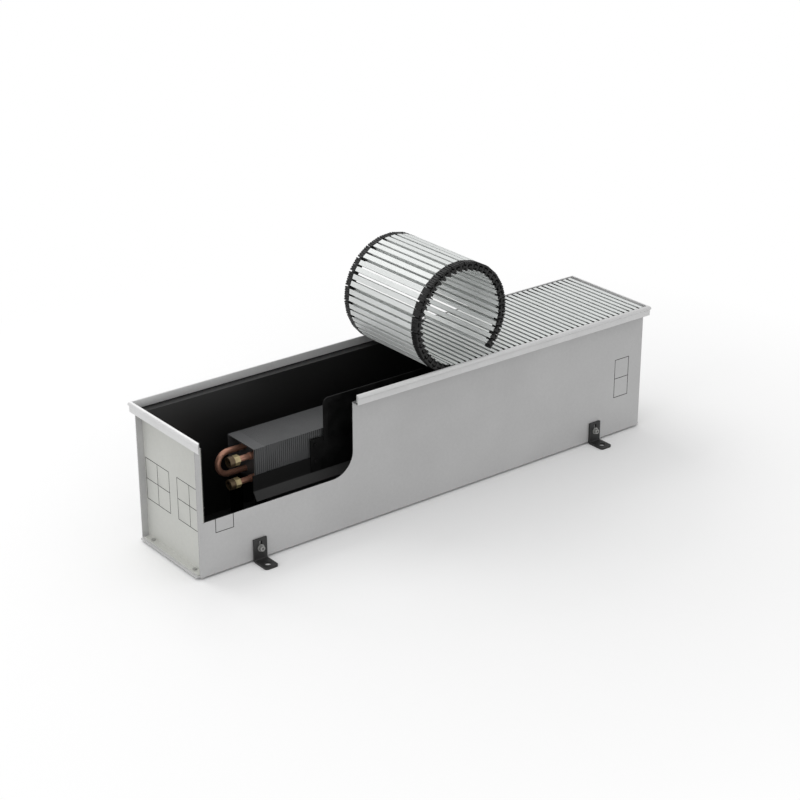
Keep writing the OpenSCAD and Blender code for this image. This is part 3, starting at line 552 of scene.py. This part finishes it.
hinges = sorted((j for j in frame["joints"] if j["name"].startswith("roll_hinge")), key=lambda j: j["name"])
hinge_points = [Vector(j["pos_m"]) for j in hinges]
ROLL_STEP = hinges[0]["range_deg"][1]
PITCH = (hinge_points[1] - hinge_points[0]).length / 2
flat_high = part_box("grille_bars_flat")[1]
FLAT_BARS = round((flat_high[0] - hinge_points[0].x) / PITCH)


def flat_place(index):
    return Matrix.Translation(hinge_points[0] + Vector(((index + 0.5) * PITCH, 0, 0)))


def flat_bars(bm):
    for index in range(FLAT_BARS):
        add_bar(bm, flat_place(index))


def flat_links(bm):
    for index in range(FLAT_BARS):
        for side in (-1, 1):
            add_link(bm, flat_place(index), side, eye=index < FLAT_BARS - 1)


add_piece("grille_bars_flat_soft", flat_bars, "grille_aluminium", "grille_flat", BAR_BEVEL,
          ("grille_bars_flat",))
add_piece("grille_links_flat_soft", flat_links, "link_plastic", "grille_flat", 0.0, ("grille_links_flat",))

for number, hinge in enumerate(hinge_points, start=1):
    body = "grille_segment_%02d" % number
    turn = Matrix.Translation(hinge) @ Matrix.Rotation(math.radians(number * ROLL_STEP), 4, "Y")
    last = number == len(hinge_points)
    bars_here = (0,) if last else (0, 1)
    places = [turn @ Matrix.Translation((-(k + 0.5) * PITCH, 0, 0)) for k in bars_here]

    def roll_bars(bm):
        for place in places:
            add_bar(bm, place)

    def roll_links(bm):
        for place in places:
            for side in (-1, 1):
                add_link(bm, place, side, pin=not last)

    add_piece(body + "_bars", roll_bars, "grille_aluminium", body, BAR_BEVEL, (body,))
    add_piece(body + "_links", roll_links, "link_plastic", body)

SOFT_EDGES = {
    "casing_trough": 0.5, "end_panel_left": 0.5, "end_panel_right": 0.5,
    "frame_profile_front": 0.3, "frame_profile_back": 0.3,
    "frame_profile_left": 0.3, "frame_profile_right": 0.3,
    "frame_seal": 0.2, "carrier_plate_left": 0.3, "carrier_plate_right": 0.3, "air_guide_strip": 0.3,
    "partition_lower": 0.3, "partition_upper": 0.25,
    "leveller_front_left": 0.4, "leveller_front_right": 0.4,
    "leveller_back_left": 0.4, "leveller_back_right": 0.4,
    "union_supply": 0.4, "union_return": 0.4, "air_vent_body": 0.3, "air_vent_screw": 0.2,
    "leveller_screws": 0.3, "leveller_washers": 0.2, "end_panel_screws": 0.4, "carrier_screws": 0.4,
    "partition_screws": 0.4, "pipe_collars": 0.4,
}
for node, width in SOFT_EDGES.items():
    bevelled_node(node, width * MM)


def flange_shade_sheet(bm):
    """Black sheet behind the rims on the carrier's front flange, as painted shade for the deep dark gaps
    between the fins
    """
    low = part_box("carrier_plate_left")[0]
    fins_low, fins_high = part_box("fin_pack")
    outline = [(low[0] + RIB, GUIDE_TOP), (fins_low[0], GUIDE_TOP),
               (fins_low[0], fins_high[2] - RIB), (low[0] + RIB, fins_high[2] - RIB)]
    prism(bm, outline, low[1] - BACKING, low[1] + BACKING, Matrix())


def flange_rims(bm):
    """Rims on the carrier's front flange, which carry on the lines of the fins"""
    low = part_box("carrier_plate_left")[0]
    fins_low, fins_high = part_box("fin_pack")
    count = int((fins_low[0] - low[0]) / FIN_PITCH)
    for index in range(1, count + 1):
        x = fins_low[0] - index * FIN_PITCH
        outline = [(x, GUIDE_TOP), (x + FIN_RIM, GUIDE_TOP), (x + FIN_RIM, fins_high[2]), (x, fins_high[2])]
        prism(bm, outline, low[1] - RIB, low[1] - BACKING, Matrix())


def fin_crown(bm):
    """Closes the gaps between the fins' top rims, a hair below them"""
    low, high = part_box("fin_pack")
    count = round((high[0] - low[0] - FIN_RIM) / FIN_PITCH)
    for index in range(count):
        x = low[0] + index * FIN_PITCH + FIN_RIM
        gap = FIN_PITCH - FIN_RIM
        outline = [(x - GAP, high[2] - RIB), (x + gap + GAP, high[2] - RIB),
                   (x + gap + GAP, high[2] - GAP), (x - GAP, high[2] - GAP)]
        prism(bm, outline, low[1] + RIB, high[1] - RIB, Matrix())


# Painted shade: a thin black sheet shows between the flange rims
add_piece("flange_shade_sheet", flange_shade_sheet, "black_sheet", "root")
add_piece("flange_rims", flange_rims, "fin_aluminium", "root")
add_piece("fin_crown", fin_crown, "fin_aluminium", "root")

replaced = {"grille_bars_flat", "grille_links_flat", *SOFT_EDGES}
for node, piece in frame["nodes"].items():
    if node in replaced or node.startswith("grille_segment"):
        continue
    for index in range(len(piece.material_slots)):
        piece.material_slots[index].material = FINISHES[slot_of[node]]


def floor_material():
    material, tree, shader, coords = node_tree("floor_finish")
    shader.inputs["Roughness"].default_value = 0.8
    shader.inputs["Specular IOR Level"].default_value = 0.2
    grain = noise(tree, coords, 3, 2)
    seen_colour = blend_colours(tree, grain, (0.935, 0.935, 0.935), (0.95, 0.95, 0.95))
    white = tree.nodes.new("ShaderNodeEmission")
    white.inputs["Strength"].default_value = 1.0
    length = tree.nodes.new("ShaderNodeVectorMath")
    length.operation = "LENGTH"
    tree.links.new(coords, length.inputs[0])
    far = ramp(tree, length.outputs["Value"], 0.4, 0.9, 0, 1)
    rays = tree.nodes.new("ShaderNodeLightPath")
    seen = math_node(tree, "MAXIMUM", rays.outputs["Is Camera Ray"], rays.outputs["Is Glossy Ray"])
    tree.links.new(blend_colours(tree, seen, (0.56, 0.56, 0.56), seen_colour), shader.inputs["Base Color"])
    mix = tree.nodes.new("ShaderNodeMixShader")
    tree.links.new(math_node(tree, "MULTIPLY", far, seen), mix.inputs["Fac"])
    tree.links.new(shader.outputs["BSDF"], mix.inputs[1])
    tree.links.new(white.outputs["Emission"], mix.inputs[2])
    tree.links.new(mix.outputs["Shader"], tree.nodes["Material Output"].inputs["Surface"])
    return material


def follow_feet(floor):
    """Keeps the floor under a levelling foot that is let down"""
    feet = [node for node in body_of if node.startswith("leveller_") and slot_of[node] == "foot_steel"]
    for node in feet:
        drop = floor.constraints.new("COPY_LOCATION")
        drop.target = frame["nodes"][node].parent
        drop.use_x = False
        drop.use_y = False
        drop.use_offset = True
    lowest = floor.constraints.new("LIMIT_LOCATION")
    lowest.use_min_z = True
    lowest.min_z = -FOOT_TRAVEL


def add_floor():
    bm = bmesh.new()
    bmesh.ops.create_grid(bm, x_segments=8, y_segments=8, size=12)
    mesh = bpy.data.meshes.new("floor")
    bm.to_mesh(mesh)
    bm.free()
    mesh.materials.append(floor_material())
    floor = bpy.data.objects.new("floor", mesh)
    scene.collection.objects.link(floor)
    follow_feet(floor)


def add_lamp(name, place, target, size, power):
    data = bpy.data.lights.new(name, "AREA")
    data.shape = "RECTANGLE"
    data.size = size[0]
    data.size_y = size[1]
    data.energy = power
    lamp = bpy.data.objects.new(name, data)
    lamp.location = place
    lamp.rotation_euler = (Vector(target) - Vector(place)).to_track_quat("-Z", "Y").to_euler()
    scene.collection.objects.link(lamp)


def add_world():
    world = bpy.data.worlds.new("studio")
    scene.world = world
    world.use_nodes = True
    tree = world.node_tree
    backdrop = tree.nodes["Background"]
    rays = tree.nodes.new("ShaderNodeLightPath")
    seen = math_node(tree, "MAXIMUM", rays.outputs["Is Camera Ray"], rays.outputs["Is Transmission Ray"])
    tree.links.new(ramp(tree, seen, 0, 1, 0.82, 1.0), backdrop.inputs["Strength"])
    backdrop.inputs["Color"].default_value = (1, 1, 1, 1)


def add_camera():
    data = bpy.data.cameras.new("camera")
    data.lens = CAMERA_LENS
    data.sensor_width = 36
    data.shift_x, data.shift_y = CAMERA_SHIFT
    data.clip_start = 0.05
    data.clip_end = 60
    camera = bpy.data.objects.new("camera", data)
    camera.location = CAMERA_AT
    camera.rotation_euler = (CAMERA_TARGET - CAMERA_AT).to_track_quat("-Z", "Y").to_euler()
    scene.collection.objects.link(camera)
    scene.camera = camera


add_floor()
add_world()
add_lamp("lamp_back", (-0.3, 1.6, 1.9), (0, 0, 0), (1.8, 1.4), 14)
add_lamp("lamp_left", (-2.2, -0.2, 1.1), (0, 0, 0.1), (1.4, 1.2), 8)
add_camera()
scene.view_settings.view_transform = "Standard"
